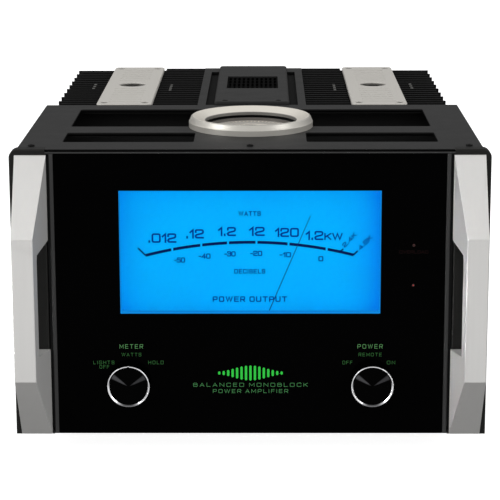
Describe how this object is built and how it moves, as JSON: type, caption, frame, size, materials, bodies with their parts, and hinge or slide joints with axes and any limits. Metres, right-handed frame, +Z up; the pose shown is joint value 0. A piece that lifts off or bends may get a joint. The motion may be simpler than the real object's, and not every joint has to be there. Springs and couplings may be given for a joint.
{
  "type": "power amplifier",
  "caption": "Monoblock audio power amplifier with black glass front, backlit meter, control knobs, silver handles, top vent ring and finned heatsinks.",
  "frame": {"origin": "middle of the footprint, on the surface the feet stand on", "axes": "+Z up, -Y towards the front glass, +X to the right seen from the front"},
  "size_m": [0.4444, 0.56, 0.3058],
  "materials": {
    "satin_black_paint": "satin, fine texture",
    "grille_black": "matt",
    "bare_steel": "zinc plated",
    "end_cap_black": "satin",
    "handle_silver": "satin anodised",
    "trim_anodised": "satin anodised",
    "black_glass": "polished, black backed",
    "clear_glass": "polished",
    "ring_silver": "satin",
    "insert_gray": "satin",
    "heatsink_black": "black anodised",
    "cap_silver": "bead blasted",
    "screw_black": "black oxide",
    "screw_steel": "plain",
    "foot_rubber": "moulded",
    "dial_blue": "back lit",
    "needle_navy": "matt",
    "housing_white": "diffuse",
    "movement_steel": "plated",
    "board_green": "solder mask",
    "led_red": "lens",
    "knob_black": "spun, gloss",
    "knob_chrome": "polished",
    "transformer_enamel": "gloss enamel",
    "capacitor_sleeve": "shrink sleeve",
    "package_black": "moulded",
    "connector_metal": "nickel plated",
    "latch_black": "moulded",
    "gold_plate": "gold plated",
    "inlet_black": "moulded"
  },
  "bodies": {
    "chassis": {"amplifier_board_left": "board_green", "amplifier_board_right": "board_green", "binding_posts": "gold_plate", "bottom_plate": "bare_steel", "bulkhead": "satin_black_paint", "center_deck": "satin_black_paint", "cover_screws": "screw_black", "end_cap_left": "end_cap_black", "end_cap_right": "end_cap_black", "feet": "foot_rubber", "filter_capacitors": "capacitor_sleeve", "foot_screws": "screw_steel", "front_glass": "black_glass", "front_subpanel": "satin_black_paint", "glass_trim_left": "trim_anodised", "glass_trim_right": "trim_anodised", "glass_trim_top": "trim_anodised", "handle_left": "handle_silver", "handle_right": "handle_silver", "handle_screws": "screw_steel", "heatsink_cap_left": "cap_silver", "heatsink_cap_right": "cap_silver", "heatsink_cap_screws": "screw_black", "heatsink_left": "heatsink_black", "heatsink_right": "heatsink_black", "indicator_leds": "led_red", "input_board": "board_green", "mains_inlet": "inlet_black", "meter_dial": "dial_blue", "meter_housing": "housing_white", "meter_movement": "movement_steel", "meter_switch": "movement_steel", "meter_window": "clear_glass", "output_autoformer": "transformer_enamel", "output_transistors": "package_black", "phono_jack": "gold_plate", "power_switch": "movement_steel", "power_transformer": "transformer_enamel", "rear_panel": "satin_black_paint", "ring_grille": "grille_black", "ring_insert": "insert_gray", "side_panel_left": "satin_black_paint", "side_panel_right": "satin_black_paint", "top_cover": "satin_black_paint", "trim_ring": "ring_silver", "vent_hood": "satin_black_paint", "vent_hood_grille": "grille_black", "xlr_core": "latch_black", "xlr_jack": "connector_metal"},
    "meter_knob": {"meter_knob": "knob_black", "meter_knob_ring": "knob_chrome"},
    "power_knob": {"power_knob": "knob_black", "power_knob_ring": "knob_chrome"},
    "needle": {"meter_needle": "needle_navy"},
    "input_selector": {"input_selector": "latch_black"},
    "xlr_latch": {"xlr_latch": "latch_black"},
    "post_nut_common": {"post_nut_common": "gold_plate"},
    "post_nut_two_ohm": {"post_nut_two_ohm": "gold_plate"},
    "post_nut_four_ohm": {"post_nut_four_ohm": "gold_plate"},
    "post_nut_eight_ohm": {"post_nut_eight_ohm": "gold_plate"}
  },
  "joints": [
    {"name": "meter_knob_turn", "type": "hinge", "parent": "chassis", "child": "meter_knob", "pos_m": [-0.1144, -0.24, 0.0705], "axis": [0, 1, 0], "range_deg": [-45, 45]},
    {"name": "power_knob_turn", "type": "hinge", "parent": "chassis", "child": "power_knob", "pos_m": [0.1144, -0.24, 0.0705], "axis": [0, 1, 0], "range_deg": [-90, 0]},
    {"name": "needle_swing", "type": "hinge", "parent": "chassis", "child": "needle", "pos_m": [0, -0.2294, 0.0963], "axis": [0, 1, 0], "range_deg": [-69, 22]},
    {"name": "input_selector_slide", "type": "slide", "parent": "chassis", "child": "input_selector", "axis": [1, 0, 0], "range_m": [0, 0.004]},
    {"name": "xlr_latch_press", "type": "slide", "parent": "chassis", "child": "xlr_latch", "axis": [0, -1, 0], "range_m": [0, 0.002], "stiffness_N_per_m": 300},
    {"name": "post_nut_common_turn", "type": "hinge", "parent": "chassis", "child": "post_nut_common", "pos_m": [-0.042, 0.27, 0.17], "axis": [0, 1, 0], "continuous": true},
    {"name": "post_nut_two_ohm_turn", "type": "hinge", "parent": "chassis", "child": "post_nut_two_ohm", "pos_m": [-0.014, 0.27, 0.17], "axis": [0, 1, 0], "continuous": true},
    {"name": "post_nut_four_ohm_turn", "type": "hinge", "parent": "chassis", "child": "post_nut_four_ohm", "pos_m": [0.014, 0.27, 0.17], "axis": [0, 1, 0], "continuous": true},
    {"name": "post_nut_eight_ohm_turn", "type": "hinge", "parent": "chassis", "child": "post_nut_eight_ohm", "pos_m": [0.042, 0.27, 0.17], "axis": [0, 1, 0], "continuous": true}
  ]
}
